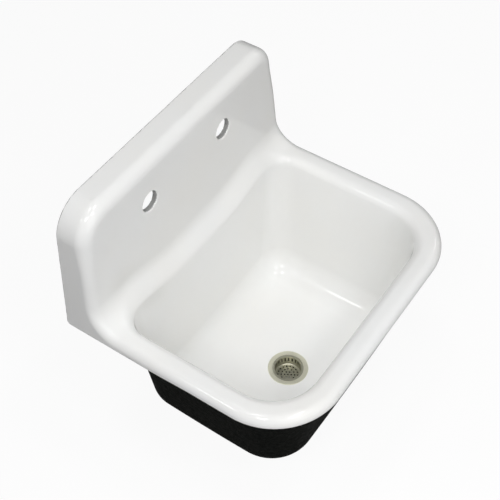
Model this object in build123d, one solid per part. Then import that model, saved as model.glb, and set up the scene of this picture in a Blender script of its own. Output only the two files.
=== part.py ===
from build123d import *
from math import pi, radians, tan
import os

# Wall-hung cast-iron sink with a high back, in millimetres.
# X runs along the wall, +Y points into the wall and +Z is up.
# The origin is on the wall, at the middle of the hanger's bar and of its two lower screws.
# Heights here are measured from the top of the rim, and placed() moves a piece to the origin.

# Overall form of the casting
WIDTH = 558.8
DEPTH = 457.2
BACK_HEIGHT = 235.0
BACK_DEPTH = 57.0
APRON = 21.5
WALL = 6.5
SIDE_LEAN = 5.15

# Corners and blends of the casting
RIM_CORNER = 118.0
TOP_CORNER = 52.0
ROLL = 17.0
CROOK = 45.0
LIP = 15.0

# Dip in the ledge behind the bowl
DIP = 20.0
DIP_FLAT = 60.0
DIP_END = 190.0

# Bowl, measured inside
RIM_WIDTH = 44.5
BOWL_BACK = 84.0
BOWL_DEPTH = 284.4
FRONT_CORNER = 72.0
REAR_CORNER = 56.0
CORNER_GROWTH = 10.0
SIDE_DRAFT = 6.8
FRONT_DRAFT = 5.4
REAR_DRAFT = 1.9
FLOOR_RADIUS = 1400.0
FLOOR_FILLET = 58.0

# Tap holes
TAP_SPACING = 203.2
TAP_HEIGHT = 152.4
TAP_HOLE = 37.2
TAP_EDGE = 2.5

# Wall hanger, and the lugs inside the back that hook on it
HANGER_DROP = 121.0
HANGER_THICK = 4.5
HANGER_BAR = 36.0
ARM_WIDTH = 64.0
ARM_CORNER = 8.0
HOOK_SPACING = 350.0
HOOK_RISE = 58.0
HOOK_LIP = 16.0
LUG_WIDTH = 52.0
LUG_THICK = 6.5
LUG_GAP = 1.5
SHELF_GAP = 4.0
SHELF_THICK = 8.0
GUSSET_RISE = 24.0
GUSSET_THICK = 6.0

# Hanger screws and washers
SCREW_RISE = 36.0
SCREW_DIAMETER = 8.0
SCREW_LENGTH = 38.0
SCREW_POINT = 8.0
SCREW_CLEARANCE = 1.2
HEAD_WIDTH = 13.0
HEAD_HEIGHT = 5.3
WASHER_DIAMETER = 20.0
WASHER_THICK = 1.8

# Drain hole in the bowl's floor
DRAIN_Y = -262.7
DRAIN_CLEARANCE = 0.8
SEAT_CLEARANCE = 1.0
BOSS_WIDTH = 12.0
BOSS_DROP = 5.0

# Strainer body
FLANGE_DIAMETER = 78.2
FLANGE_THICK = 2.4
FLANGE_RISE = 1.0
SEAL_THICK = 1.5
CUP_BORE = 54.5
CUP_SHELL = 3.0
CUP_DEPTH = 42.0
CUP_FLOOR = 3.0
SPUD_DIAMETER = 47.4
SPUD_BORE = 39.0
SPUD_LENGTH = 18.0

# Strainer basket
BASKET_CLEARANCE = 0.5
BASKET_SHEET = 1.2
BASKET_RIM = 2.8
BASKET_DEPTH = 24.0
BASKET_ROUND = 4.0
SLOTS = 24
SLOT_WIDTH = 3.0
SLOT_HEIGHT = 12.0
SLOT_TOP = 4.0
HOLE = 3.4
HOLE_RINGS = 3
RING_PITCH = 6.4

# Locknut and its rings under the bowl
THREAD_CLEARANCE = 0.05
RING_WIDTH = 8.5
GASKET_THICK = 4.0
FRICTION_THICK = 1.0
LOCKNUT_WIDTH = 8.0
LOCKNUT_HEIGHT = 9.0
LOCKNUT_TOOTH_COUNT = 8
LOCKNUT_TOOTH = 4.0

# Tailpiece and its coupling nut
TAIL_DIAMETER = 38.1
TAIL_SHEET = 1.2
TAIL_LENGTH = 101.6
TAIL_FLANGE = 1.6
TAIL_CLEARANCE = 0.6
TAIL_WASHER = 2.0
NUT_GRIP = 12.0
NUT_LIP = 3.5
NUT_SHELL = 4.0
NUT_SIDE_COUNT = 8

# Values worked out from the sizes above
LEAN = tan(radians(SIDE_LEAN))
BOWL_HALF = WIDTH / 2 - RIM_WIDTH
BOWL_FRONT = DEPTH - RIM_WIDTH
DIP_REACH = BACK_DEPTH + 2 * CROOK
OVERSHOOT = 10.0
TOUCH = 0.01
NEAR = 1.0

CUP_RADIUS = CUP_BORE / 2 + CUP_SHELL
HOLE_RADIUS = CUP_RADIUS + DRAIN_CLEARANCE
FLANGE_TOP = -BOWL_DEPTH + FLANGE_RISE
FLANGE_FOOT = FLANGE_TOP - FLANGE_THICK
SEAT_Z = FLANGE_FOOT - SEAL_THICK
BOSS_Z = -BOWL_DEPTH - WALL - BOSS_DROP
FRICTION_Z = BOSS_Z - GASKET_THICK
LOCKNUT_Z = FRICTION_Z - FRICTION_THICK
CUP_Z = FLANGE_TOP - CUP_DEPTH
SPUD_Z = CUP_Z - SPUD_LENGTH
TAIL_Z = SPUD_Z - TAIL_WASHER

HANGER_HEIGHT = BACK_HEIGHT - HANGER_DROP
HOOK_DEPTH = LUG_THICK + 2 * LUG_GAP + HANGER_THICK
HOOK_Z = HANGER_HEIGHT + HOOK_RISE


def placed(shape):
    return Pos(0, 0, -HANGER_HEIGHT) * shape


def save(shape, name):
    export_step(placed(shape), f"parts/{name}.step")


def turned(points):
    """A ring or cup about the drain's axis, from its half section."""
    section = Plane.XZ * make_face(Polyline(*points, close=True))
    return Pos(0, DRAIN_Y, 0) * revolve(section, Axis.Z)


def ring(inner, outer, foot, top):
    return turned([(inner, foot), (outer, foot), (outer, top), (inner, top)])


def both_sides(shape, spacing):
    return Pos(-spacing / 2, 0, 0) * shape + Pos(spacing / 2, 0, 0) * shape


def rim_slab(inset, foot, rear):
    """The rim and apron as a solid slab, drawn in by the inset."""
    half = WIDTH / 2 - inset - (foot + APRON) * LEAN
    front = DEPTH - inset - (foot + APRON) * LEAN
    outline = Rectangle(2 * half, 2 * front)
    outline = fillet(outline.vertices().group_by(Axis.Y)[0], RIM_CORNER - inset)
    slab = extrude(Pos(0, 0, foot) * outline, -inset - foot, taper=SIDE_LEAN)
    return split(slab, Plane.XZ.offset(-rear), keep=Keep.TOP)


def dip(inset):
    """The metal taken off the slab's top so that the ledge sinks in its middle."""
    low = Vector(DIP_FLAT, -DIP - inset)
    middle = Vector((DIP_FLAT + DIP_END) / 2, -DIP / 2 - inset)
    high = Vector(DIP_END, -inset)
    hollow = TangentArc(low, middle, tangent=(1, 0))
    swell = TangentArc(middle, high, tangent=hollow % 1)
    slopes = [hollow, swell, hollow.mirror(Plane.YZ), swell.mirror(Plane.YZ)]
    floor = Line((-DIP_FLAT, -DIP - inset), (DIP_FLAT, -DIP - inset))
    top = OVERSHOOT - inset
    lid = Polyline((DIP_END, -inset), (DIP_END, top), (-DIP_END, top), (-DIP_END, -inset))
    outline = Plane.XZ * make_face(slopes + [floor, lid])
    return Pos(0, inset - BACK_DEPTH, 0) * extrude(outline, DIP_REACH - BACK_DEPTH)


def back_block(inset, foot, rear):
    """The back as a solid block with rounded top corners."""
    top = BACK_HEIGHT - inset
    low_half = WIDTH / 2 - inset - (foot + APRON) * LEAN
    top_half = low_half - (top - foot) * LEAN
    corners = [(-low_half, foot), (low_half, foot), (top_half, top), (-top_half, top)]
    outline = make_face(Polyline(*corners, close=True))
    outline = fillet(outline.vertices().group_by(Axis.Y)[-1], TOP_CORNER - inset)
    return Pos(0, rear, 0) * extrude(Plane.XZ * outline, BACK_DEPTH - inset + rear)


def is_crook(edge, inset):
    """Whether an edge lies in the corner between the back and the slab."""
    points = [edge @ 0, edge @ 0.5, edge @ 1]
    on_back = all(abs(point.Y + BACK_DEPTH - inset) < TOUCH for point in points)
    low = all(point.Z < TOUCH - inset for point in points)
    return on_back and low and abs(points[0].X - points[2].X) > NEAR


def is_outer(edge, inset, foot, rear):
    """Whether an edge is on the outer line that the roll follows."""
    start, middle, end = edge @ 0, edge @ 0.5, edge @ 1
    crook_y = -BACK_DEPTH - CROOK
    crook_z = CROOK
    on_wall = start.Y > rear - TOUCH and end.Y > rear - TOUCH
    on_foot = start.Z < foot + TOUCH and end.Z < foot + TOUCH
    below_crook = middle.Z < crook_z + NEAR
    on_dip = abs(middle.X) < DIP_END + OVERSHOOT and middle.Y > -DIP_REACH - NEAR
    on_crook = abs(middle.X) < BOWL_HALF and middle.Y > crook_y - NEAR
    inside = below_crook and (on_dip or on_crook)
    upright = abs(start.Z - end.Z) > NEAR and middle.Y < crook_y - inset
    runs_back = abs(start.Y - end.Y) > NEAR and not below_crook
    return not (on_wall or on_foot or inside or upright or runs_back)


def envelope(inset, foot, rear):
    """The outside of the rim and back as one solid, or with an inset their inside."""
    body = rim_slab(inset, foot, rear) - dip(inset) + back_block(inset, foot, rear)
    crook = [edge for edge in body.edges() if is_crook(edge, inset)]
    body = fillet(crook, CROOK + inset)
    outer = [edge for edge in body.edges() if is_outer(edge, inset, foot, rear)]
    return fillet(outer, ROLL - inset)


def bowl_section(z, grow):
    half = BOWL_HALF + grow + z * tan(radians(SIDE_DRAFT))
    front = BOWL_FRONT + grow + z * tan(radians(FRONT_DRAFT))
    rear = BOWL_BACK - grow - z * tan(radians(REAR_DRAFT))
    wider = grow - CORNER_GROWTH * z / BOWL_DEPTH
    outline = Pos(0, -(front + rear) / 2, z) * Rectangle(2 * half, front - rear)
    front_corners = outline.vertices().group_by(Axis.Y)[0]
    outline = fillet(front_corners, FRONT_CORNER + wider)
    rear_corners = outline.vertices().group_by(Axis.Y)[-1]
    return fillet(rear_corners, REAR_CORNER + wider)


def bowl(grow, top):
    """The hollow of the bowl, or grown by the wall its outside."""
    body = loft([bowl_section(-BOWL_DEPTH - CROOK, grow), bowl_section(top, grow)], ruled=True)
    centre = Vector(0, DRAIN_Y, FLOOR_RADIUS - BOWL_DEPTH)
    body &= Pos(centre) * Rot(90, 0, 0) * Sphere(FLOOR_RADIUS + grow)
    floor = []
    for edge in body.edges():
        ends = [edge @ 0, edge @ 1]
        if all(abs((end - centre).length - FLOOR_RADIUS - grow) < TOUCH for end in ends):
            floor.append(edge)
    return fillet(floor, FLOOR_FILLET + grow)


def edges_between(body, first, second):
    """The level edges of a body, above the apron's foot, that lie on two other solids."""
    found = []
    for edge in body.edges():
        start, middle, end = edge @ 0, edge @ 0.5, edge @ 1
        level = middle.Z > NEAR - APRON and abs(start.Z - end.Z) < APRON
        if level and first.distance_to(middle) < TOUCH and second.distance_to(middle) < TOUCH:
            found.append(edge)
    return found


def casting_shell():
    """Rim, back and bowl at the wall's thickness, with the mouth's lip rounded."""
    outer = envelope(0.0, -APRON, 0.0)
    inner = envelope(WALL, -APRON - OVERSHOOT, OVERSHOOT)
    hollow = bowl(0.0, CROOK)
    pot = bowl(WALL, CROOK)
    under = inner - pot
    lower = split(pot, Plane.XY.offset(NEAR - APRON), keep=Keep.BOTTOM)
    body = outer + lower - hollow - under
    body = fillet(edges_between(body, hollow, outer), LIP)
    return fillet(edges_between(body, pot, under), LIP - WALL)


def lug():
    """A hook cast inside the back: a shelf, a tongue that hangs from it and two gussets."""
    shelf_z = HOOK_Z + HOOK_LIP + SHELF_GAP
    shelf_top = shelf_z + SHELF_THICK
    tongue_front = -LUG_GAP - LUG_THICK
    root = -BACK_DEPTH + WALL / 2
    outline = Polyline(
        (root, shelf_z),
        (tongue_front, shelf_z),
        (tongue_front, HOOK_Z),
        (-LUG_GAP, HOOK_Z),
        (-LUG_GAP, shelf_top),
        (root, shelf_top),
        close=True,
    )
    hook = extrude(Plane.YZ * make_face(outline), LUG_WIDTH / 2, both=True)
    slope = Polyline(
        (root, shelf_top),
        (tongue_front, shelf_top),
        (root, shelf_top + GUSSET_RISE),
        close=True,
    )
    gusset = extrude(Plane.YZ * make_face(slope), GUSSET_THICK / 2, both=True)
    return hook + both_sides(gusset, LUG_WIDTH - GUSSET_THICK)


def sink_casting():
    body = casting_shell()
    body += both_sides(lug(), HOOK_SPACING)
    seat = FLANGE_DIAMETER / 2 + SEAT_CLEARANCE
    inside_wall = BOSS_Z + BOSS_DROP + WALL / 2
    body += turned([
        (HOLE_RADIUS, BOSS_Z),
        (seat + BOSS_WIDTH / 2, BOSS_Z),
        (seat + BOSS_WIDTH, inside_wall),
        (HOLE_RADIUS, inside_wall),
    ])
    body -= ring(0, seat, SEAT_Z, -BOWL_DEPTH + OVERSHOOT)
    body -= ring(0, HOLE_RADIUS, BOSS_Z - OVERSHOOT, SEAT_Z + OVERSHOOT)
    bore = Pos(0, 0, TAP_HEIGHT) * extrude(Plane.XZ * Circle(TAP_HOLE / 2), DEPTH)
    body -= both_sides(bore, TAP_SPACING)
    rims = body.edges().filter_by(GeomType.CIRCLE)
    rims = rims.filter_by(lambda edge: abs(edge.radius - TAP_HOLE / 2) < TOUCH)
    rims = rims.filter_by(lambda edge: abs((edge @ 0).Y + BACK_DEPTH) < TOUCH)
    return fillet(rims, TAP_EDGE)


def wall_hanger():
    """A U-shaped plate that clears the taps' shanks, with an offset hook on each arm."""
    bar = Rectangle(HOOK_SPACING, HANGER_BAR)
    foot = -HANGER_BAR / 2
    arm = Pos(0, (HOOK_RISE + foot) / 2) * Rectangle(ARM_WIDTH, HOOK_RISE - foot)
    arm = fillet(arm.vertices().group_by(Axis.Y)[0], ARM_CORNER)
    outline = bar + both_sides(arm, HOOK_SPACING)
    plate = Pos(0, 0, HANGER_HEIGHT) * extrude(Plane.XZ * outline, HANGER_THICK)
    profile = Polyline(
        (0, HOOK_Z - HANGER_THICK),
        (0, HOOK_Z),
        (HANGER_THICK - HOOK_DEPTH, HOOK_Z),
        (HANGER_THICK - HOOK_DEPTH, HOOK_Z + HOOK_LIP),
        (-HOOK_DEPTH, HOOK_Z + HOOK_LIP),
        (-HOOK_DEPTH, HOOK_Z - HANGER_THICK),
        close=True,
    )
    hook = extrude(Plane.YZ * make_face(profile), ARM_WIDTH / 2, both=True)
    hole = extrude(Plane.XZ * Circle(SCREW_DIAMETER / 2 + SCREW_CLEARANCE), HANGER_THICK)
    body = plate + both_sides(hook, HOOK_SPACING)
    for z in screw_heights():
        body -= Pos(0, 0, z) * both_sides(hole, HOOK_SPACING)
    bend = body.edges().filter_by(Axis.X)
    bend = bend.filter_by(lambda edge: abs((edge @ 0).Y + HOOK_DEPTH) < TOUCH)
    return fillet(bend.group_by(Axis.Z)[0], HANGER_THICK)


def screw_heights():
    return [HANGER_HEIGHT, HANGER_HEIGHT + SCREW_RISE]


def at_screws(shape):
    """One copy of a piece at each of the four screws."""
    copies = []
    for z in screw_heights():
        for x in (-HOOK_SPACING / 2, HOOK_SPACING / 2):
            copies.append(Pos(x, 0, z) * shape)
    return Compound(copies)


def hanger_screw():
    """A hexagon-headed lag screw, its point in the wall."""
    bearing = -HANGER_THICK - WASHER_THICK
    tip = bearing + SCREW_LENGTH
    radius = SCREW_DIAMETER / 2
    outline = Polyline(
        (0, tip),
        (radius, tip - SCREW_POINT),
        (radius, bearing),
        (0, bearing),
        close=True,
    )
    hexagon = Plane.XZ.offset(-bearing) * RegularPolygon(HEAD_WIDTH / 2, 6, major_radius=False)
    return revolve(make_face(outline), Axis.Y) + extrude(hexagon, HEAD_HEIGHT)


def hanger_washer():
    hole = SCREW_DIAMETER / 2 + SCREW_CLEARANCE
    outline = Circle(WASHER_DIAMETER / 2) - Circle(hole)
    return extrude(Plane.XZ.offset(HANGER_THICK) * outline, WASHER_THICK)


def strainer_body():
    """Flange, cup and threaded spud in one, with a ledge for the basket's rim."""
    flange = FLANGE_DIAMETER / 2
    bore = CUP_BORE / 2
    ledge = bore + BASKET_RIM
    ledge_z = FLANGE_TOP - BASKET_SHEET
    body = turned([
        (bore, ledge_z),
        (ledge, ledge_z),
        (ledge, FLANGE_TOP),
        (flange, FLANGE_TOP),
        (flange, FLANGE_FOOT),
        (CUP_RADIUS, FLANGE_FOOT),
        (CUP_RADIUS, CUP_Z),
        (SPUD_DIAMETER / 2, CUP_Z),
        (SPUD_DIAMETER / 2, SPUD_Z),
        (SPUD_BORE / 2, SPUD_Z),
        (SPUD_BORE / 2, CUP_Z + CUP_FLOOR),
        (bore, CUP_Z + CUP_FLOOR),
    ])
    rim = body.edges().filter_by(GeomType.CIRCLE).group_by(Axis.Z)[-1].sort_by(SortBy.RADIUS)[-1]
    return fillet(rim, FLANGE_THICK / 2)


def basket_shell():
    """The basket as a drawn cup with a flat rim."""
    outer = CUP_BORE / 2 - BASKET_CLEARANCE
    inner = outer - BASKET_SHEET
    rim = CUP_BORE / 2 + BASKET_RIM - BASKET_CLEARANCE
    under = FLANGE_TOP - BASKET_SHEET
    foot = FLANGE_TOP - BASKET_DEPTH
    cup = turned([
        (0, foot),
        (outer, foot),
        (outer, under),
        (rim, under),
        (rim, FLANGE_TOP),
        (0, FLANGE_TOP),
    ])
    cup = fillet(cup.edges().group_by(Axis.Z)[0], BASKET_ROUND)
    hollow = ring(0, inner, foot + BASKET_SHEET, FLANGE_TOP + OVERSHOOT)
    hollow = fillet(hollow.edges().group_by(Axis.Z)[0], BASKET_ROUND - BASKET_SHEET)
    return cup - hollow


def strainer_basket():
    """The cup with upright slots round its wall and rings of holes in its floor."""
    middle = FLANGE_TOP - SLOT_TOP - SLOT_HEIGHT / 2
    outline = SlotCenterToCenter(SLOT_HEIGHT - SLOT_WIDTH, SLOT_WIDTH, rotation=90)
    slot = extrude(Plane.XZ * outline, CUP_BORE / 2)
    slots = []
    for turn in range(SLOTS):
        slots.append(Pos(0, DRAIN_Y, middle) * Rot(0, 0, 360 * turn / SLOTS) * slot)
    foot = FLANGE_TOP - BASKET_DEPTH
    hole = Cylinder(HOLE / 2, 3 * BASKET_SHEET)
    holes = [Pos(0, DRAIN_Y, foot) * hole]
    for number in range(1, HOLE_RINGS + 1):
        spots = PolarLocations(number * RING_PITCH, 6 * number)
        holes += [Pos(0, DRAIN_Y, foot) * spot * hole for spot in spots]
    return basket_shell() - slots - holes


def flange_seal():
    return ring(HOLE_RADIUS, FLANGE_DIAMETER / 2, SEAT_Z, FLANGE_FOOT)


def drain_gasket():
    inner = CUP_RADIUS + THREAD_CLEARANCE
    return ring(inner, CUP_RADIUS + RING_WIDTH, FRICTION_Z, BOSS_Z)


def friction_ring():
    inner = CUP_RADIUS + THREAD_CLEARANCE
    return ring(inner, CUP_RADIUS + RING_WIDTH, LOCKNUT_Z, FRICTION_Z)


def locknut():
    """A ring with lugs for a spanner."""
    inner = CUP_RADIUS + THREAD_CLEARANCE
    outer = CUP_RADIUS + LOCKNUT_WIDTH
    foot = LOCKNUT_Z - LOCKNUT_HEIGHT
    body = ring(inner, outer, foot, LOCKNUT_Z)
    width = pi * outer / LOCKNUT_TOOTH_COUNT
    reach = outer + LOCKNUT_TOOTH
    tooth = Box(reach, width, LOCKNUT_HEIGHT, align=(Align.MIN, Align.CENTER, Align.MIN))
    for turn in range(LOCKNUT_TOOTH_COUNT):
        body += Pos(0, DRAIN_Y, foot) * Rot(0, 0, 360 * turn / LOCKNUT_TOOTH_COUNT) * tooth
    bore = ring(0, inner, foot - OVERSHOOT, LOCKNUT_Z + OVERSHOOT)
    return (body - bore) & ring(0, reach, foot, LOCKNUT_Z)


def tailpiece_washer():
    return ring(TAIL_DIAMETER / 2, SPUD_DIAMETER / 2, TAIL_Z, SPUD_Z)


def tailpiece():
    """The outlet tube, with a flange that the coupling nut pulls up."""
    outer = TAIL_DIAMETER / 2
    inner = outer - TAIL_SHEET
    foot = TAIL_Z - TAIL_LENGTH
    lip = TAIL_Z - TAIL_FLANGE
    return turned([
        (inner, foot),
        (outer, foot),
        (outer, lip),
        (SPUD_DIAMETER / 2, lip),
        (SPUD_DIAMETER / 2, TAIL_Z),
        (inner, TAIL_Z),
    ])


def coupling_nut():
    """An eight-sided nut on the spud's thread, its lip under the tailpiece's flange."""
    bore = SPUD_DIAMETER / 2 + THREAD_CLEARANCE
    neck = TAIL_DIAMETER / 2 + TAIL_CLEARANCE
    shoulder = TAIL_Z - TAIL_FLANGE
    foot = shoulder - NUT_LIP
    top = SPUD_Z + NUT_GRIP
    outline = RegularPolygon(bore + NUT_SHELL, NUT_SIDE_COUNT, major_radius=False)
    body = Pos(0, DRAIN_Y, foot) * extrude(outline, top - foot)
    body -= ring(0, bore, shoulder, top + OVERSHOOT)
    return body - ring(0, neck, foot - OVERSHOOT, shoulder + OVERSHOOT)


if __name__ == "__main__":
    os.makedirs("parts", exist_ok=True)
    save(sink_casting(), "sink_casting")
    save(wall_hanger(), "wall_hanger")
    save(at_screws(hanger_screw()), "hanger_screws")
    save(at_screws(hanger_washer()), "hanger_washers")
    save(strainer_body(), "strainer_body")
    save(strainer_basket(), "strainer_basket")
    save(flange_seal(), "flange_seal")
    save(drain_gasket(), "drain_gasket")
    save(friction_ring(), "friction_ring")
    save(locknut(), "locknut")
    save(tailpiece_washer(), "tailpiece_washer")
    save(tailpiece(), "tailpiece")
    save(coupling_nut(), "coupling_nut")
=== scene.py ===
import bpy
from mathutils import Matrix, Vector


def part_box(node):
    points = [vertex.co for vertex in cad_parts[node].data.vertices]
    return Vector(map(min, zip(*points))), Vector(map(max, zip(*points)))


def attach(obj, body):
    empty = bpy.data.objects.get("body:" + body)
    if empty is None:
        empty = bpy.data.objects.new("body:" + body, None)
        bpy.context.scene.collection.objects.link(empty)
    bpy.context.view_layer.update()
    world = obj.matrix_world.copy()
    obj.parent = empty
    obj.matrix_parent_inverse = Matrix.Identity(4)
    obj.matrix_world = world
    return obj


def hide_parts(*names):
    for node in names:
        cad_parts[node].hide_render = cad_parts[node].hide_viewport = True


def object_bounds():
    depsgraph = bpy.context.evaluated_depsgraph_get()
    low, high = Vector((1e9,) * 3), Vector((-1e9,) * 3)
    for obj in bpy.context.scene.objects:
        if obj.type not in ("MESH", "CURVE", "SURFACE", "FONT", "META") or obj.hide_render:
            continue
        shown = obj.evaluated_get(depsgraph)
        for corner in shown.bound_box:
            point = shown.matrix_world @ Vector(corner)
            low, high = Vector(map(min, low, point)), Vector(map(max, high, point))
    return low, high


bl_info = {
    "name": "Wall-hung sink",
    "version": (1, 0, 0),
    "blender": (4, 5, 0),
    "location": "3D View > Sidebar > Sink",
    "description": "Dresses an enamelled cast-iron sink with its strainer, outlet and wall hanger",
    "category": "Add Mesh",
}

from itertools import product
from math import cos, radians, sin, tan

import bmesh
import bpy
import numpy as np
from mathutils import Euler, Vector

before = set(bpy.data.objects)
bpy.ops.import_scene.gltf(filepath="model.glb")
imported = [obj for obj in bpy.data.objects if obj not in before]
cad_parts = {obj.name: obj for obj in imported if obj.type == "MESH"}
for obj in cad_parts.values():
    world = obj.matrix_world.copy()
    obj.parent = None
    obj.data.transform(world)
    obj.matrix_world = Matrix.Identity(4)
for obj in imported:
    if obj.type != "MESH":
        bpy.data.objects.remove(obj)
CAD_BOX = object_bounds()

MM = 0.001
TINY = 1e-9
BODY = "sink"
WHITE = (1.0, 1.0, 1.0)

# Lengths are in metres, Y is negative in front of the wall, and heights start at the rim's top

# Where one form passes into the next, from the place with none of it to the place with all of it

CORNER_TURN = (-0.06, 0.06)  # from left to right
DIP_START = (-0.35, -0.20)  # from front to rear
CROWN_FALL = (-0.014, -0.042)  # inwards from the rim's outside
SPREAD_FALL = (0.2, 0.0)  # down the back
RIDGE_SWELL = (0.11, 0.20)  # up the back's sides
ROLL_SWELL = (0.01, 0.07)  # up from the rim
LEDGE_BEHIND = (-0.13, -0.09)  # towards the wall
LEDGE_BELOW = (-0.07, -0.04)  # up to the ledge
LEDGE_ABOVE = (0.06, 0.03)  # down to the ledge
PAD_EDGE = (0.040, 0.028)  # towards a tap hole's axis
FOOT_RISE = (-0.17, -0.26)  # from rear to front

# Smaller sizes of the casting

BACK_ZONE = -0.12  # the tap holes lie behind this
FLOOR_ZONE = -0.2  # the drain hole lies below this
NO_HOLE = -0.05  # stands for the distance where no hole is near
FOOT_REACH = 0.016  # from the bowl's outside to where the apron's foot ends
FOOT_ROUNDING = 0.0025
HEEL_ROUNDING = 0.009  # the apron's lower corners at the wall
BORE_ROUNDING = 0.0008  # the tap holes' rear edges
DRAIN_ROUNDING = 0.002
BOSS_RADIUS = 0.052
BOSS_DROP = 0.0045
BOSS_ROOT = 0.005  # from the bowl's skin to where the boss starts
BOSS_ROUNDING = 0.002
BOSS_FILLET = 0.004

# Smaller sizes of the hooks

HOOK_ROUNDING = 0.0015
HOOK_FILLET = 0.003
RIB_HALF = 0.003
RIB_FILLET = 0.002
HOOK_MARGIN = 0.003
HOOK_ROOM = 0.032
WALL_MARGIN = 0.001

# The casting's grid and its finer places

GRID_MARGIN = 0.004
REAR_MARGIN = 0.006
TOP_MARGIN = 0.005
MIDDLE_HALF = 0.165
MIDDLE_FRONT = -0.34
MIDDLE_REAR = -0.14
GRID_FOOT = -0.304
WALLS_TOP = -0.06
RIM_TOP = 0.02
CROOK_TOP = 0.08
PANEL_TOP = 0.18
FINE_MARGINS = (0.012, 0.007)
SKIN_BAND = 0.004

# Depths under the enamelled skin in millimetres, where its colour gives way to the black coat

COAT_DEPTH = (3.6, 4.2)
COAT_WANDER = 0.6
BORE_DEPTH = 2.2

# Coats of the casting

BORE_MARGIN = 0.0006
INSIDE_COAT = (-0.075, -0.055)  # towards the wall
GLOSS_CHANGE = (-0.015, 0.02)
ENAMEL_WAVE = 0.16
ENAMEL_REFLECTION = 0.3
COAT_PALE = 1.6
COAT_ROUGHNESS = (0.55, 0.7)
COAT_METALLIC = 0.97
COAT_GRAIN = 0.0006

# Patterns, in turns per metre

RAGGED_TURNS = 90.0
WARM_TURNS = 5.0
IRON_TURNS = 60.0
GLOSS_TURNS = 14.0
COARSE_TURNS = 120.0
WAVE_TURNS = 26.0
COAT_TURNS = 420.0
METAL_TURNS = 400.0
METAL_PATCHES = 35.0
PLAIN_PATCHES = 40.0

# Shares of a finish's own colour in its darkest patches, and of its roughness from low to high

METAL_DARK = 0.9
METAL_SHEEN = (0.85, 1.2)
PLAIN_DARK = 0.78
PLAIN_SHEEN = (0.85, 1.15)

# Painted shade in the strainer's hollow, from dark to unshaded: inwards from the basket's radius and down
# from the lip

PAINTED_SHADE_INSET = (0.0012, 0.0008)
PAINTED_SHADE_DROP = (0.003, 0.001)
PAINTED_SHADE_DARKNESS = 0.05

# Stage

FLOOR_REACH = 6.0
FLOOR_GLOW = 1.02
GLOW_SHARE = 0.9
LAMP_AIM = (0.0, -0.25, -0.15)
CAMERA_PLACE = (-0.9666, -0.8675, 1.3042)
CAMERA_TURN = (40.0795, 0.7007, -55.7698)
LENS_SHIFT = (-0.00844, 0.00156)
SENSOR_WIDTH = 36.0


# Sizes and finishes that a user would change


def length(name, text, default):
    return bpy.props.FloatProperty(name=name, description=text, default=default, unit="LENGTH")


def angle(name, text, degrees):
    return bpy.props.FloatProperty(name=name, description=text, default=radians(degrees), subtype="ANGLE")


def share(name, text, default):
    return bpy.props.FloatProperty(
        name=name, description=text, default=default, min=0.0, max=1.0, subtype="FACTOR"
    )


def colour(name, text, default):
    return bpy.props.FloatVectorProperty(
        name=name, description=text, default=default, size=3, min=0.0, max=1.0, subtype="COLOR"
    )


def power(name, text, default):
    return bpy.props.FloatProperty(name=name, description=text, default=default, unit="POWER")


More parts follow.
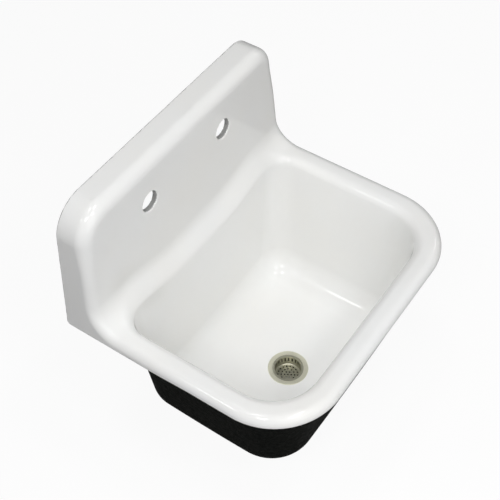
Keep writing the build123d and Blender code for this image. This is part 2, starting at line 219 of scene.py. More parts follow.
class CastingSizes(bpy.types.PropertyGroup):
    """The enamelled casting, with heights measured from the top of the rim."""

    width: length("Width", "Side to side, at the foot of the apron", 0.5588)
    depth: length("Depth", "From the wall to the front of the apron", 0.4572)
    back_height: length("Back height", "Top of the back above the rim", 0.235)
    back_depth: length("Back depth", "Thickness of the back at its top", 0.057)
    back_spread: length("Back spread", "How much thicker the back is at its foot", 0.004)
    apron: length("Apron", "Drop of the apron below the rim", 0.0215)
    bare_edge: length("Bare edge", "Depth given to the back's rear edge, so that it turns bare", 0.0054)
    apron_rise: length("Apron rise", "How much shorter the apron is towards the front", 0.003)
    wall: length("Wall", "Thickness of the iron", 0.007)
    ledge_wall: length("Ledge wall", "Extra thickness of the iron behind the ledge", 0.004)
    lean: angle("Lean", "Inward lean of the sides", 5.15)
    rim_corner: length("Rim corner", "Radius of the front corners seen from above", 0.124)
    left_corner: length("Left top corner", "Radius of the back's left top corner", 0.058)
    right_corner: length("Right top corner", "Radius of the back's right top corner", 0.042)
    roll: length("Roll", "Rounding of the rim's outer edge", 0.015)
    ridge: length("Ridge", "Rounding along the back's top", 0.023)
    side_ridge: length("Side ridge", "Rounding down the back's sides", 0.016)
    crook: length("Crook", "Radius between the back and the ledge", 0.045)
    lip: length("Lip", "Rounding of the bowl's mouth", 0.015)
    crown: length("Crown", "Fall of the rim towards the bowl", 0.0015)
    dip: length("Dip", "Depth of the dip in the ledge behind the bowl", 0.020)
    dip_flat: length("Dip flat", "Half width of the dip's level part", 0.060)
    dip_end: length("Dip end", "Half width of the whole dip", 0.190)
    rim_width: length("Rim width", "From the outside to the bowl's wall", 0.0445)
    bowl_back: length("Bowl back", "From the wall to the bowl's rear", 0.084)
    bowl_depth: length("Bowl depth", "From the rim's top to the floor", 0.2844)
    front_corner: length("Front corner", "Radius of the bowl's front corners", 0.086)
    front_growth: length("Front growth", "Growth of that radius down to the floor", -0.015)
    rear_corner: length("Rear corner", "Radius of the bowl's rear corners", 0.042)
    rear_growth: length("Rear growth", "Growth of that radius down to the floor", 0.006)
    side_draft: angle("Side draft", "Slope of the bowl's sides", 6.8)
    front_draft: angle("Front draft", "Slope of the bowl's front", 6.2)
    rear_draft: angle("Rear draft", "Slope of the bowl's rear", 1.9)
    floor_radius: length("Floor radius", "Radius of the dished floor", 1.4)
    floor_fillet: length("Floor fillet", "Radius between the floor and the walls", 0.057)
    tap_spacing: length("Tap spacing", "Between the centres of the tap holes", 0.2032)
    tap_height: length("Tap height", "Tap holes above the rim", 0.1524)
    tap_hole: length("Tap hole", "Diameter of the tap holes", 0.0372)
    tap_lip: length("Tap lip", "Rounding of the tap holes' front edges", 0.0032)
    tap_pad: length("Tap pad", "Extra thickness of the iron round the tap holes", 0.004)
    hook_spacing: length("Hook spacing", "Between the middles of the two hooks", 0.350)
    hook_width: length("Hook width", "Width of each hook", 0.052)
    hook_height: length("Hook height", "Middle of the hooks' shelves above the rim", 0.196)
    hook_shelf: length("Hook shelf", "Thickness of the shelves", 0.008)
    hook_drop: length("Hook drop", "From the top of the shelves to the tongues' ends", 0.028)
    hook_tongue: length("Hook tongue", "Thickness of the tongues", 0.0065)
    hook_gap: length("Hook gap", "From the tongues to the wall", 0.0015)
    hook_gusset: length("Hook gusset", "Rise of the gussets above the shelves", 0.024)
    hook_pitch: length("Hook pitch", "Size of the hooks' faces", 0.0016)
    drain_y: length("Drain", "Place of the drain in front of the wall", -0.2627)
    drain_hole: length("Drain hole", "Diameter of the hole under the flange", 0.068)
    pitch: length("Mesh pitch", "Size of the casting's faces", 0.004)


class Finishes(bpy.types.PropertyGroup):
    """Colours and sheens."""

    enamel: colour("Enamel", "White of the enamel", (0.952, 0.957, 0.952))
    enamel_warm: colour("Warm enamel", "Slightly warmer patches of the enamel", (0.957, 0.952, 0.928))
    enamel_gloss: share("Enamel roughness", "Roughness of the enamel", 0.055)
    bore_grey: share("Bore grey", "How much of the black coat shows in the tap holes' bores", 0.36)
    underside: colour("Underside", "Black coat on the hidden iron", (0.0035, 0.0042, 0.004))
    coat_edge: colour("Coat edge", "Tint of the black coat's grazing reflections", (0.74, 0.74, 0.71))
    inside: colour("Inside", "Coat on the iron inside the back", (0.016, 0.017, 0.017))
    hook: colour("Hook", "Coat on the cast hooks", (0.016, 0.017, 0.017))
    nickel: colour("Nickel", "Satin nickel of the strainer", (0.82, 0.81, 0.66))
    basket: colour("Basket", "Duller nickel of the basket", (0.54, 0.53, 0.42))
    chrome: colour("Chrome", "Chromed tube and nut", (0.72, 0.73, 0.75))
    brass: colour("Brass", "Cast brass of the locknut", (0.60, 0.44, 0.18))
    zinc: colour("Zinc", "Plated screws and washers", (0.55, 0.57, 0.60))
    hanger: colour("Hanger", "Paint on the hanger", (0.045, 0.047, 0.05))
    rubber: colour("Rubber", "Gasket under the bowl", (0.02, 0.02, 0.021))
    fibre: colour("Fibre", "Friction ring", (0.30, 0.19, 0.10))
    seal: colour("Seal", "Seal under the flange", (0.55, 0.52, 0.44))
    plastic: colour("Plastic", "Washer of the tailpiece", (0.80, 0.80, 0.78))
    floor: colour("Floor", "Pale floor", (0.90, 0.90, 0.90))
    surroundings: colour("Surroundings", "Floor as the sink reflects it", (0.48, 0.48, 0.49))


class StageSettings(bpy.types.PropertyGroup):
    """Lamps, the soft light all round and the camera."""

    key_power: power("Key", "Power of the lamp high up at the left", 14.8)
    side_power: power("Side", "Power of the lamp behind the left side", 5.7)
    front_power: power("Front", "Power of the lamp high up at the front", 10.5)
    top_power: power("Top", "Power of each of the two lamps overhead", 18.6)
    low_power: power("Low", "Power of the broad low lamp at the front", 14.8)
    right_power: power("Right", "Power of the lamp at the right", 6.2)
    sky: bpy.props.FloatProperty(name="Sky", description="Strength of the light all round", default=0.085)
    lens: bpy.props.FloatProperty(name="Lens", description="Focal length", default=76.757, unit="CAMERA")


# Small tools for shapes


def smooth(t):
    t = np.clip(t, 0.0, 1.0)
    return t * t * (3.0 - 2.0 * t)


def fade(place, none, full):
    """Rises softly from 0 to 1 between two places."""
    return smooth((place - none) / (full - none))


def turning(first, second, place, span):
    """A size that passes from one value to another over a span."""
    return first + (second - first) * fade(place, *span)


def meet(a, b, radius):
    """Where both distances are inside, with the edge between them rounded."""
    corner = np.hypot(np.maximum(a + radius, 0.0), np.maximum(b + radius, 0.0))
    return np.minimum(np.maximum(a, b), -radius) + corner


def join(a, b, radius):
    """Where either distance is inside, with the corner between them filled."""
    return -meet(-a, -b, radius)


def meet_open(a, b, radius, lean):
    """Like meet, for faces whose normals have this cosine between them."""
    u = a + radius
    v = b + radius
    arc = (u > lean * v) & (v > lean * u)
    reach = np.sqrt(np.maximum(u * u + v * v - 2.0 * lean * u * v, 0.0) / (1.0 - lean * lean))
    return np.where(arc, reach - radius, np.maximum(a, b))


def rounded_box(x, y, half_x, half_y, radius):
    """Distance to a rectangle with rounded corners."""
    u = np.abs(x) - half_x + radius
    v = np.abs(y) - half_y + radius
    return np.hypot(np.maximum(u, 0.0), np.maximum(v, 0.0)) + np.minimum(np.maximum(u, v), 0.0) - radius


def tap_radius(x, z, size):
    """Distance to the axis of the nearer tap hole."""
    return np.hypot(np.abs(x) - size.tap_spacing / 2, z - size.tap_height)


def drain_radius(x, y, size):
    """Distance to the drain's axis."""
    return np.hypot(x, y - size.drain_y)


def bowl_distance(x, y, z, size):
    """Distance to the bowl's hollow, negative inside it."""
    half = size.width / 2 - size.rim_width + z * tan(size.side_draft)
    front = size.depth - size.rim_width + z * tan(size.front_draft)
    rear = size.bowl_back - z * tan(size.rear_draft)
    middle = y + (front + rear) / 2
    at_front = middle < 0.0
    corner = np.where(at_front, size.front_corner, size.rear_corner)
    growth = np.where(at_front, size.front_growth, size.rear_growth)
    corner = corner - growth * z / size.bowl_depth
    walls = rounded_box(x, middle, half, (front - rear) / 2, corner) * cos(size.side_draft)
    out = drain_radius(x, y, size)
    floor = np.hypot(out, z + size.bowl_depth - size.floor_radius) - size.floor_radius
    return meet_open(walls, floor, size.floor_fillet, sin(size.side_draft) + out / size.floor_radius)


def outer_distance(x, y, z, size):
    """Distance to the block whose skin is the rim, the ledge, the back and the apron."""
    inward = (z + size.apron) * tan(size.lean)
    half = size.width / 2 - inward
    front = size.depth - inward
    plan = rounded_box(x, np.minimum(y, 0.0), half, front, size.rim_corner) * cos(size.lean)
    corner = turning(size.left_corner, size.right_corner, x, CORNER_TURN)
    elevation = meet((np.abs(x) - half) * cos(size.lean), z - size.back_height, corner)
    outline = np.maximum(plan, elevation)
    dip = size.dip * fade(np.abs(x), size.dip_end, size.dip_flat) * fade(y, *DIP_START)
    crown = size.crown * fade(plan, *CROWN_FALL)
    face = -y - size.back_depth - size.back_spread * fade(z, *SPREAD_FALL)
    top = join(z + dip + crown, face, size.crook)
    ridge = turning(size.side_ridge, size.ridge, z, RIDGE_SWELL)
    return meet(top, outline, turning(size.roll, ridge, z, ROLL_SWELL))


def boss_distance(x, y, z, bowl, size):
    """Distance to the thick ring of iron under the drain."""
    under = -z - size.bowl_depth - size.wall - BOSS_DROP
    boss = meet(drain_radius(x, y, size) - BOSS_RADIUS, under, BOSS_ROUNDING)
    return np.maximum(boss, BOSS_ROOT - bowl)


def casting_distance(p, size):
    """Distance to the casting's iron and to its enamelled skin."""
    x, y, z = p
    bowl = bowl_distance(x, y, z, size)
    skin = meet(outer_distance(x, y, z, size), -bowl, size.lip)
    tap = tap_radius(x, z, size)
    at_back = y > BACK_ZONE
    ledge = fade(y, *LEDGE_BEHIND) * fade(z, *LEDGE_BELOW) * fade(z, *LEDGE_ABOVE)
    pad = fade(tap, *PAD_EDGE) * at_back
    iron = np.maximum(skin, -skin - size.wall - size.ledge_wall * ledge - size.tap_pad * pad)
    foot = size.apron - size.apron_rise * fade(y, *FOOT_RISE)
    below = np.minimum(-foot - z, bowl - size.wall - FOOT_REACH)
    iron = meet(iron, below, FOOT_ROUNDING)
    iron = join(iron, boss_distance(x, y, z, bowl, size), BOSS_FILLET)
    iron = np.maximum(meet(iron, y, FOOT_ROUNDING), meet(below, y, HEEL_ROUNDING))
    edge = np.where(skin > -size.wall / 2, size.tap_lip, BORE_ROUNDING)
    iron = meet(iron, np.where(at_back, size.tap_hole / 2 - tap, NO_HOLE), edge)
    drain = size.drain_hole / 2 - drain_radius(x, y, size)
    iron = meet(iron, np.where(z < FLOOR_ZONE, drain, NO_HOLE), DRAIN_ROUNDING)
    return iron, skin


def hook_distance(p, size):
    """Distance to the two hooks cast inside the back, which hang on the wall hanger."""
    x, y, z = p
    across = np.abs(np.abs(x) - size.hook_spacing / 2)
    root = -size.back_depth + size.wall / 2
    front = -size.hook_gap - size.hook_tongue
    top = size.hook_height + size.hook_shelf / 2
    rear = y + size.hook_gap
    shelf = np.abs(z - size.hook_height) - size.hook_shelf / 2
    shelf = meet(shelf, np.maximum(rear, root - y), HOOK_ROUNDING)
    tongue = np.maximum(z - top, top - size.hook_drop - z)
    tongue = meet(np.maximum(rear, front - y), tongue, HOOK_ROUNDING)
    hook = meet(join(shelf, tongue, HOOK_FILLET), across - size.hook_width / 2, HOOK_ROUNDING)
    run = np.hypot(front - root, size.hook_gusset)
    slope = ((y - front) * size.hook_gusset + (z - top) * (front - root)) / run
    rib = np.abs(across - size.hook_width / 2 + RIB_HALF) - RIB_HALF
    gusset = np.maximum(np.maximum(slope, root - y), size.hook_height - z)
    return join(hook, meet(gusset, rib, HOOK_ROUNDING), RIB_FILLET)


# Meshes worked out from a distance


def slope_of(field, points, step=0.0002):
    """Direction in which the distance grows at each point."""
    slope = np.zeros_like(points)
    for axis in range(3):
        shift = np.zeros(3)
        shift[axis] = step
        ahead = field((points + shift).T)
        behind = field((points - shift).T)
        slope[:, axis] = (ahead - behind) / (2 * step)
    return slope


def settle(field, points, rounds=3, reach=0.002, least=0.25):
    """Moves points onto the surface along its slope, a short way in each round."""
    for _ in range(rounds):
        distance = field(points.T)
        slope = slope_of(field, points)
        move = distance[:, None] * slope / np.maximum((slope * slope).sum(1), least)[:, None]
        far = np.linalg.norm(move, axis=1)
        move *= np.minimum(1.0, reach / np.maximum(far, TINY))[:, None]
        points = points - move
    return points


def net_points(axes, values, cells):
    """One point in each cell that the surface crosses."""
    points = np.zeros((len(cells), 3))
    count = np.zeros(len(cells))
    for axis in range(3):
        first, second = [other for other in range(3) if other != axis]
        for corner in product((0, 1), repeat=2):
            start = cells.copy()
            start[:, first] += corner[0]
            start[:, second] += corner[1]
            end = start.copy()
            end[:, axis] += 1
            low = values[tuple(start.T)]
            high = values[tuple(end.T)]
            crossed = (low < 0) != (high < 0)
            part = low[crossed] / (low[crossed] - high[crossed])
            place = np.stack([axes[n][start[crossed, n]] for n in range(3)], 1)
            place[:, axis] += part * (axes[axis][end[crossed, axis]] - axes[axis][start[crossed, axis]])
            points[crossed] += place
            count[crossed] += 1
    return points / count[:, None]


def net_faces(inside, number):
    """Four-sided faces round every grid edge that the surface crosses."""
    faces = []
    for axis in range(3):
        first, second = (axis + 1) % 3, (axis + 2) % 3
        here = [slice(None)] * 3
        there = [slice(None)] * 3
        here[axis] = slice(0, -1)
        there[axis] = slice(1, None)
        edges = np.argwhere(inside[tuple(here)] != inside[tuple(there)])
        corners = []
        for back in ((1, 1), (0, 1), (0, 0), (1, 0)):
            cell = edges.copy()
            cell[:, first] -= back[0]
            cell[:, second] -= back[1]
            corners.append(number[tuple(cell.T)])
        quads = np.stack(corners, 1)
        turned_in = ~inside[tuple(edges.T)]
        quads[turned_in] = quads[turned_in][:, ::-1]
        faces.append(quads)
    return np.concatenate(faces)


def surface_net(axes, field):
    """Points and faces of the closed surface where the distance changes sign."""
    values = field(np.meshgrid(*axes, indexing="ij"))
    inside = values < 0
    shape = [len(axis) - 1 for axis in axes]
    count = np.zeros(shape, np.int8)
    for a, b, c in product((0, 1), repeat=3):
        count += inside[a:a + shape[0], b:b + shape[1], c:c + shape[2]]
    crossed = (count > 0) & (count < 8)
    cells = np.argwhere(crossed)
    number = np.full(shape, -1)
    number[crossed] = np.arange(len(cells))
    points = net_points(axes, values, cells)
    return settle(field, points), net_faces(inside, number)


def spaced(pitch, start, *stretches):
    """Grid lines through stretches, each with its end and its own share of the pitch."""
    lines = []
    for end, part in stretches:
        lines.append(np.linspace(start, end, round((end - start) / (pitch * part)), endpoint=False))
        start = end
    return np.concatenate([*lines, [start]])


def casting_grid(size):
    """Grid lines across, along and up the casting, closer together where it curves most."""
    side = size.width / 2 + GRID_MARGIN
    front = -size.depth - GRID_MARGIN
    top = size.back_height + TOP_MARGIN
    floor = (FLOOR_ZONE, 1.0)
    walls = (WALLS_TOP, 1.7)
    rim = (RIM_TOP, 0.85)
    crook = (CROOK_TOP, 1.3)
    panel = (PANEL_TOP, 1.7)
    return [
        spaced(size.pitch, -side, (-MIDDLE_HALF, 0.9), (MIDDLE_HALF, 1.6), (side, 0.9)),
        spaced(size.pitch, front, (MIDDLE_FRONT, 0.9), (MIDDLE_REAR, 1.6), (REAR_MARGIN, 0.9)),
        spaced(size.pitch, GRID_FOOT, floor, walls, rim, crook, panel, (top, 1.0)),
    ]


def hook_grid(middle, size):
    """Grid lines round one hook."""
    reach = size.hook_width / 2 + HOOK_MARGIN
    foot = size.hook_height - size.hook_drop
    top = size.hook_height + HOOK_ROOM
    return [
        spaced(size.hook_pitch, middle - reach, (middle + reach, 1.0)),
        spaced(size.hook_pitch, -size.back_depth, (WALL_MARGIN, 1.0)),
        spaced(size.hook_pitch, foot, (top, 1.0)),
    ]


def fine_places(points, size, margin):
    """Numbers of the points near a tap hole, the drain hole, the apron's foot or the rear edge."""
    x, y, z = points.T
    tap = tap_radius(x, z, size) - size.tap_hole / 2
    near = (np.abs(tap) < margin) & (y > BACK_ZONE)
    drain = drain_radius(x, y, size) - size.drain_hole / 2
    near |= (np.abs(drain) < margin) & (z < FLOOR_ZONE)
    foot = size.apron - size.apron_rise / 2
    edge = (np.abs(z + foot) < margin / 2) | (np.abs(y) < margin / 2)
    near |= edge & (np.abs(outer_distance(x, y, z, size)) < SKIN_BAND)
    return set(np.nonzero(near)[0].tolist())


def split_finely(mesh, field, size):
    """Splits the edges near the casting's fine places, once for each margin."""
    bm = bmesh.new()
    bm.from_mesh(mesh)
    for margin in FINE_MARGINS:
        near = fine_places(np.array([vertex.co for vertex in bm.verts]), size, margin)
        edges = [edge for edge in bm.edges if all(vertex.index in near for vertex in edge.verts)]
        bmesh.ops.subdivide_edges(bm, edges=edges, cuts=1, use_grid_fill=True)
        bm.verts.ensure_lookup_table()
        bm.verts.index_update()
        settled = settle(field, np.array([vertex.co for vertex in bm.verts]))
        for vertex, point in zip(bm.verts, settled):
            vertex.co = point
    bm.to_mesh(mesh)
    bm.free()


def mesh_points(mesh):
    flat = np.zeros(len(mesh.vertices) * 3)
    mesh.vertices.foreach_get("co", flat)
    return flat.reshape(-1, 3)


def mark_coats(mesh, points, size):
    """Stores each point's depth under the skin, in millimetres, and whether it lies in a bore."""
    x, y, z = points.T
    depth = -casting_distance(points.T, size)[1] / MM
    depth = np.maximum(depth, y / MM + size.bare_edge / MM)
    in_bore = (tap_radius(x, z, size) < size.tap_hole / 2 + BORE_MARGIN) & (y > BACK_ZONE)
    in_bore &= depth > BORE_DEPTH
    for name, values in (("depth", depth), ("bore", in_bore)):
        mesh.attributes.new(name, "FLOAT", "POINT").data.foreach_set("value", values)


# Materials


def new_material(name):
    material = bpy.data.materials.new(name)
    material.use_nodes = True
    tree = material.node_tree
    tree.nodes.clear()
    output = tree.nodes.new("ShaderNodeOutputMaterial")
    shader = tree.nodes.new("ShaderNodeBsdfPrincipled")
    tree.links.new(shader.outputs["BSDF"], output.inputs["Surface"])
    return material, tree, shader


def noise(tree, turns, detail=3.0):
    """A noise pattern fixed to the piece, in turns per metre."""
    place = tree.nodes.new("ShaderNodeTexCoord")
    texture = tree.nodes.new("ShaderNodeTexNoise")
    texture.inputs["Scale"].default_value = turns
    texture.inputs["Detail"].default_value = detail
    tree.links.new(place.outputs["Object"], texture.inputs["Vector"])
    return texture.outputs["Fac"]


def own_place(tree):
    """The X, Y and Z of each point of the piece."""
    place = tree.nodes.new("ShaderNodeTexCoord")
    split = tree.nodes.new("ShaderNodeSeparateXYZ")
    tree.links.new(place.outputs["Object"], split.inputs["Vector"])
    return split.outputs


def stored(tree, name):
    """A value stored at the mesh's points."""
    node = tree.nodes.new("ShaderNodeAttribute")
    node.attribute_name = name
    return node.outputs["Fac"]


def combine(tree, operation, first, second):
    """Two values put together by a maths operation."""
    node = tree.nodes.new("ShaderNodeMath")
    node.operation = operation
    tree.links.new(first, node.inputs[0])
    tree.links.new(second, node.inputs[1])
    return node.outputs["Value"]


def between(tree, source, low, high, start=0.3, end=0.7):
    """The source spread from one value to another."""
    node = tree.nodes.new("ShaderNodeMapRange")
    node.inputs["From Min"].default_value = start
    node.inputs["From Max"].default_value = end
    node.inputs["To Min"].default_value = low
    node.inputs["To Max"].default_value = high
    tree.links.new(source, node.inputs["Value"])
    return node.outputs["Result"]


def blend(tree, kind, factor, first, second):
    """A mix of two values or colours, each a plain one or another node's."""
    node = tree.nodes.new("ShaderNodeMix")
    node.data_type = kind
    tree.links.new(factor, node.inputs["Factor"])
    for socket, source in ((node.inputs["A"], first), (node.inputs["B"], second)):
        if isinstance(source, bpy.types.NodeSocket):
            tree.links.new(source, socket)
        elif kind == "RGBA":
            socket.default_value = (*source, 1.0)
        else:
            socket.default_value = source
    return node.outputs["Result"]


def blend_colours(tree, factor, first, second):
    return blend(tree, "RGBA", factor, first, second)


def blend_values(tree, factor, first, second):
    return blend(tree, "FLOAT", factor, first, second)


def bump(tree, shader, height, distance):
    node = tree.nodes.new("ShaderNodeBump")
    node.inputs["Distance"].default_value = distance
    node.inputs["Strength"].default_value = 1.0
    tree.links.new(height, node.inputs["Height"])
    tree.links.new(node.outputs["Normal"], shader.inputs["Normal"])


def shaded(tint, factor):
    """A colour made darker, or lighter with a factor above 1."""
    return tuple(channel * factor for channel in tint)


def casting_material(finish):
    """White enamel on the skin and a black coat on the iron behind it."""
    material, tree, shader = new_material("white_enamel")
    ragged = between(tree, noise(tree, RAGGED_TURNS), -COAT_WANDER, COAT_WANDER)
    depth = combine(tree, "ADD", stored(tree, "depth"), ragged)
    black = between(tree, depth, 0.0, 1.0, *COAT_DEPTH)
    black = blend_values(tree, stored(tree, "bore"), black, finish.bore_grey)
    warm = between(tree, noise(tree, WARM_TURNS), 0.0, 1.0)
    white = blend_colours(tree, warm, finish.enamel, finish.enamel_warm)
    pale = shaded(finish.underside, COAT_PALE)
    iron = blend_colours(tree, noise(tree, IRON_TURNS), finish.underside, pale)
    behind = between(tree, own_place(tree)["Y"], 0.0, 1.0, *INSIDE_COAT)
    iron = blend_colours(tree, behind, iron, finish.inside)
    tree.links.new(blend_colours(tree, black, white, iron), shader.inputs["Base Color"])
    gloss = (finish.enamel_gloss + change for change in GLOSS_CHANGE)
    sheen = between(tree, noise(tree, GLOSS_TURNS), *gloss)
    coarse = between(tree, noise(tree, COARSE_TURNS), *COAT_ROUGHNESS)
    tree.links.new(blend_values(tree, black, sheen, coarse), shader.inputs["Roughness"])
    wavy = between(tree, noise(tree, WAVE_TURNS, detail=1.0), 0.0, ENAMEL_WAVE, 0.0, 1.0)
    rough = noise(tree, COAT_TURNS, detail=4.0)
    bump(tree, shader, blend_values(tree, black, wavy, rough), COAT_GRAIN)
    tree.links.new(between(tree, black, 0.0, COAT_METALLIC, 0.0, 1.0), shader.inputs["Metallic"])
    shader.inputs["Specular IOR Level"].default_value = ENAMEL_REFLECTION
    tree.links.new(blend_colours(tree, black, WHITE, finish.coat_edge), shader.inputs["Specular Tint"])
    return material


def finish_shader(tree, shader, tint, dark, patches, fine, sheen, grain):
    """Lets the colour wander in patches, and the sheen and the surface follow a fine pattern."""
    spots = between(tree, noise(tree, patches), 0.0, 1.0)
    tree.links.new(blend_colours(tree, spots, tint, shaded(tint, dark)), shader.inputs["Base Color"])
    tree.links.new(between(tree, fine, *sheen), shader.inputs["Roughness"])
    bump(tree, shader, fine, grain)


def metal_material(name, tint, roughness, grain, metallic=1.0):
    """A metal, with the depth of its grain in metres."""
    material, tree, shader = new_material(name)
    sheen = (roughness * part for part in METAL_SHEEN)
    fine = noise(tree, METAL_TURNS)
    finish_shader(tree, shader, tint, METAL_DARK, METAL_PATCHES, fine, sheen, grain)
    shader.inputs["Metallic"].default_value = metallic
    return material


def plain_material(name, tint, roughness, grain, turns=250.0):
    """A rubber, plastic, fibre or paint, with its grain's depth and its turns per metre."""
    material, tree, shader = new_material(name)
    sheen = (roughness * part for part in PLAIN_SHEEN)
    fine = noise(tree, turns, detail=4.0)
    finish_shader(tree, shader, tint, PLAIN_DARK, PLAIN_PATCHES, fine, sheen, grain)
    return material


def add_painted_shade(material, tint, size):
    """Paints shade into the strainer's hollow: darkens what lies within the basket's radius and below the
    strainer's lip.
    """
    tree = material.node_tree
    shader = tree.nodes["Principled BSDF"]
    place = own_place(tree)
    flat = tree.nodes.new("ShaderNodeCombineXYZ")
    tree.links.new(place["X"], flat.inputs["X"])
    tree.links.new(place["Y"], flat.inputs["Y"])
    away = tree.nodes.new("ShaderNodeVectorMath")
    away.operation = "DISTANCE"
    away.inputs[1].default_value = (0.0, size.drain_y, 0.0)
    tree.links.new(flat.outputs["Vector"], away.inputs[0])
    low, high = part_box("strainer_basket")
    radius = (high.x - low.x) / 2
    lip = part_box("strainer_body")[1].z
    outside = between(tree, away.outputs["Value"], 0.0, 1.0, *(radius - inset for inset in PAINTED_SHADE_INSET))
    above = between(tree, place["Z"], 0.0, 1.0, *(lip - drop for drop in PAINTED_SHADE_DROP))
    unshaded = combine(tree, "MAXIMUM", outside, above)
    # Painted shade: the nickel turns nearly black inside the basket's radius and below the lip, where the
    # drain's hollow lies in shade
    tree.links.new(blend_colours(tree, unshaded, shaded(tint, PAINTED_SHADE_DARKNESS), tint), shader.inputs["Base Color"])


# Pieces in the scene


def new_object(name, mesh, material):
    piece = bpy.data.objects.new(name, mesh)
    bpy.context.scene.collection.objects.link(piece)
    mesh.materials.append(material)
    return piece


def finish_node(node, material):
    """Gives a CAD node that stays in view a new material."""
    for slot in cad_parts[node].material_slots:
        slot.material = material


def finish_casting(name, mesh, field, points, size, material):
    """Sets the points and normals of a part of the casting and puts it in the scene."""
    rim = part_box("sink_casting")[1].z - size.back_height
    normals = slope_of(field, points)
    normals /= np.maximum(np.linalg.norm(normals, axis=1), TINY)[:, None]
    mesh.vertices.foreach_set("co", (points + np.array([0.0, 0.0, rim])).ravel())
    mesh.polygons.foreach_set("use_smooth", [True] * len(mesh.polygons))
    mesh.normals_split_custom_set_from_vertices(normals.tolist())
    mesh.update()
    piece = new_object(name, mesh, material)
    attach(piece, BODY)
    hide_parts("sink_casting")


def area_lamp(name, place, side, watts):
    """A square lamp that faces the sink."""
    light = bpy.data.lights.new(name, "AREA")
    light.shape = "SQUARE"
    light.size = side
    light.energy = watts
    lamp = bpy.data.objects.new(name, light)
    lamp.location = place
    lamp.rotation_euler = (Vector(LAMP_AIM) - Vector(place)).to_track_quat("-Z", "Y").to_euler()
    bpy.context.scene.collection.objects.link(lamp)


def sky(strength):
    """A soft light all round, which the camera sees as white."""
    world = bpy.data.worlds.new("sky")
    world.use_nodes = True
    bpy.context.scene.world = world
    tree = world.node_tree
    tree.nodes.clear()
    output = tree.nodes.new("ShaderNodeOutputWorld")
    path = tree.nodes.new("ShaderNodeLightPath")
    mix = tree.nodes.new("ShaderNodeMixShader")
    tree.links.new(path.outputs["Is Camera Ray"], mix.inputs["Fac"])
    for number, level in ((1, strength), (2, 1.0)):
        light = tree.nodes.new("ShaderNodeBackground")
        light.inputs["Color"].default_value = (*WHITE, 1.0)
        light.inputs["Strength"].default_value = level
        tree.links.new(light.outputs["Background"], mix.inputs[number])
    tree.links.new(mix.outputs["Shader"], output.inputs["Surface"])


def floor_material(finish):
    """A pale floor with the sink's shadow for the camera, and a darker one for the sink's reflections."""
    material = bpy.data.materials.new("pale_floor")
    material.use_nodes = True
    tree = material.node_tree
    tree.nodes.clear()
    output = tree.nodes.new("ShaderNodeOutputMaterial")
    pale = tree.nodes.new("ShaderNodeBsdfDiffuse")
    pale.inputs["Color"].default_value = (*finish.floor, 1.0)
    glow = tree.nodes.new("ShaderNodeEmission")
    glow.inputs["Color"].default_value = (*WHITE, 1.0)
    glow.inputs["Strength"].default_value = FLOOR_GLOW
    dark = tree.nodes.new("ShaderNodeBsdfDiffuse")
    dark.inputs["Color"].default_value = (*finish.surroundings, 1.0)
    seen = tree.nodes.new("ShaderNodeMixShader")
    seen.inputs["Fac"].default_value = GLOW_SHARE
    tree.links.new(pale.outputs["BSDF"], seen.inputs[1])
    tree.links.new(glow.outputs["Emission"], seen.inputs[2])
    path = tree.nodes.new("ShaderNodeLightPath")
    mix = tree.nodes.new("ShaderNodeMixShader")
    tree.links.new(path.outputs["Is Camera Ray"], mix.inputs["Fac"])
    tree.links.new(dark.outputs["BSDF"], mix.inputs[1])
    tree.links.new(seen.outputs["Shader"], mix.inputs[2])
    tree.links.new(mix.outputs["Shader"], output.inputs["Surface"])
    return material


def add_camera(focal_length):
    lens = bpy.data.cameras.new("camera")
    lens.lens = focal_length
    lens.sensor_width = SENSOR_WIDTH
    lens.shift_x, lens.shift_y = LENS_SHIFT
    camera = bpy.data.objects.new("camera", lens)
    camera.location = CAMERA_PLACE
    camera.rotation_euler = Euler([radians(turn) for turn in CAMERA_TURN])
    bpy.context.scene.collection.objects.link(camera)
    bpy.context.scene.camera = camera


# Operators


class SINK_OT_casting(bpy.types.Operator):
    """Build the enamelled casting: rim, bowl, ledge, back and tap holes"""

    bl_idname = "sink.casting"
    bl_label = "Casting"

    def execute(self, context):
        size = context.scene.sink_casting

        def field(p):
            return casting_distance(p, size)[0]

        points, faces = surface_net(casting_grid(size), field)
        mesh = bpy.data.meshes.new("sink_enamelled_casting")
        mesh.from_pydata(points.tolist(), [], faces.tolist())
        split_finely(mesh, field, size)
        points = mesh_points(mesh)
        mark_coats(mesh, points, size)
        material = casting_material(context.scene.sink_finishes)
        finish_casting("sink_enamelled_casting", mesh, field, points, size, material)
        return {"FINISHED"}


class SINK_OT_hooks(bpy.types.Operator):
    """Build the two hooks cast inside the back"""

    bl_idname = "sink.hooks"
    bl_label = "Hooks"

    def execute(self, context):
        size = context.scene.sink_casting

        def field(p):
            return hook_distance(p, size)

        points = []
        faces = []
        count = 0
        for middle in (-size.hook_spacing / 2, size.hook_spacing / 2):
            more, quads = surface_net(hook_grid(middle, size), field)
            points.append(more)
            faces.append(quads + count)
            count += len(more)
        points = np.concatenate(points)
        mesh = bpy.data.meshes.new("sink_hooks")
        mesh.from_pydata(points.tolist(), [], np.concatenate(faces).tolist())
        tint = context.scene.sink_finishes.hook
        material = plain_material("cast_iron_coat", tint, 0.6, COAT_GRAIN, turns=COAT_TURNS)
        finish_casting("sink_hooks", mesh, field, points, size, material)
        return {"FINISHED"}


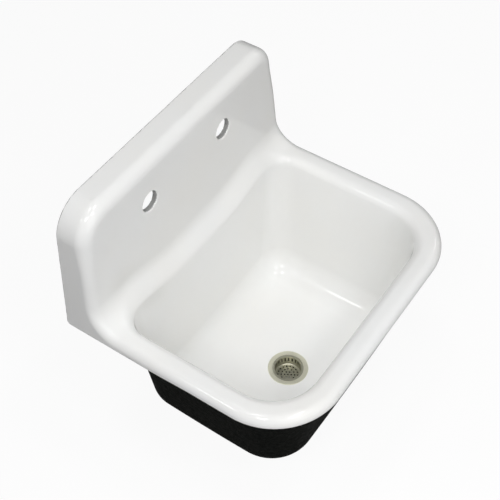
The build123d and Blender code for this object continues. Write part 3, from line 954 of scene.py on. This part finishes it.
class SINK_OT_fittings(bpy.types.Operator):
    """Finish the strainer, its rings and nut, the tailpiece and the wall hanger"""

    bl_idname = "sink.fittings"
    bl_label = "Fittings"

    def execute(self, context):
        finish = context.scene.sink_finishes
        nickel = metal_material("satin_nickel", finish.nickel, roughness=0.32, grain=0.00001, metallic=0.55)
        # Painted shade darkens the strainer's hollow below its lip
        add_painted_shade(nickel, finish.nickel, context.scene.sink_casting)
        dull = metal_material("basket_nickel", finish.basket, roughness=0.34, grain=0.00001, metallic=0.85)
        chrome = metal_material("chrome_plate", finish.chrome, roughness=0.10, grain=0.000005)
        zinc = metal_material("zinc_plate", finish.zinc, roughness=0.32, grain=0.00002)
        brass = metal_material("cast_brass", finish.brass, roughness=0.42, grain=0.0001)
        paint = plain_material("hanger_paint", finish.hanger, roughness=0.38, grain=0.0001, turns=500.0)
        rubber = plain_material("black_rubber", finish.rubber, roughness=0.62, grain=0.0001, turns=700.0)
        fibre = plain_material("brown_fibre", finish.fibre, roughness=0.75, grain=0.0001, turns=900.0)
        seal = plain_material("grey_seal", finish.seal, roughness=0.6, grain=0.0003, turns=200.0)
        plastic = plain_material("white_plastic", finish.plastic, roughness=0.4, grain=0.00005)
        finish_node("strainer_body", nickel)
        finish_node("strainer_basket", dull)
        finish_node("tailpiece", chrome)
        finish_node("coupling_nut", chrome)
        finish_node("hanger_screws", zinc)
        finish_node("hanger_washers", zinc)
        finish_node("locknut", brass)
        finish_node("wall_hanger", paint)
        finish_node("drain_gasket", rubber)
        finish_node("friction_ring", fibre)
        finish_node("flange_seal", seal)
        finish_node("tailpiece_washer", plastic)
        return {"FINISHED"}


class SINK_OT_stage(bpy.types.Operator):
    """Set up the floor, the lamps, the soft light all round and the camera"""

    bl_idname = "sink.stage"
    bl_label = "Stage"

    def execute(self, context):
        stage = context.scene.sink_stage
        foot = CAD_BOX[0].z
        sides = ((-1, -1), (1, -1), (1, 1), (-1, 1))
        corners = [(x * FLOOR_REACH, y * FLOOR_REACH, foot) for x, y in sides]
        mesh = bpy.data.meshes.new("pale_floor")
        mesh.from_pydata(corners, [], [(0, 1, 2, 3)])
        floor = new_object("pale_floor", mesh, floor_material(context.scene.sink_finishes))
        area_lamp("key_lamp", (-1.66, -0.78, 2.09), 0.5, stage.key_power)
        area_lamp("side_lamp", (-2.03, 0.67, 2.09), 0.4, stage.side_power)
        area_lamp("front_lamp", (-0.69, -1.57, 2.09), 0.45, stage.front_power)
        area_lamp("top_lamp", (-0.75, -0.1, 3.6), 0.5, stage.top_power)
        area_lamp("over_lamp", (0.1, -1.3, 3.6), 0.5, stage.top_power)
        area_lamp("low_lamp", (-0.9, -2.0, 0.9), 1.6, stage.low_power)
        area_lamp("right_lamp", (2.25, -0.9, 1.5), 0.5, stage.right_power)
        sky(stage.sky)
        add_camera(stage.lens)
        context.scene.view_settings.view_transform = "Standard"
        return {"FINISHED"}


class SINK_PT_panel(bpy.types.Panel):
    """Sizes, finishes and the steps that build the sink"""

    bl_label = "Sink"
    bl_space_type = "VIEW_3D"
    bl_region_type = "UI"
    bl_category = "Sink"

    def draw(self, context):
        for step in STEPS:
            self.layout.operator(step.bl_idname)
        for group in (context.scene.sink_casting, context.scene.sink_finishes, context.scene.sink_stage):
            column = self.layout.column()
            for name in group.__annotations__:
                column.prop(group, name)


GROUPS = {"sink_casting": CastingSizes, "sink_finishes": Finishes, "sink_stage": StageSettings}
STEPS = (SINK_OT_casting, SINK_OT_hooks, SINK_OT_fittings, SINK_OT_stage)


def register():
    for kind in (*GROUPS.values(), *STEPS, SINK_PT_panel):
        bpy.utils.register_class(kind)
    for name, group in GROUPS.items():
        setattr(bpy.types.Scene, name, bpy.props.PointerProperty(type=group))


def unregister():
    for name in GROUPS:
        delattr(bpy.types.Scene, name)
    for kind in (SINK_PT_panel, *reversed(STEPS), *GROUPS.values()):
        bpy.utils.unregister_class(kind)


def main():
    register()
    bpy.ops.sink.casting()
    bpy.ops.sink.hooks()
    bpy.ops.sink.fittings()
    bpy.ops.sink.stage()


if __name__ == "__main__":
    main()
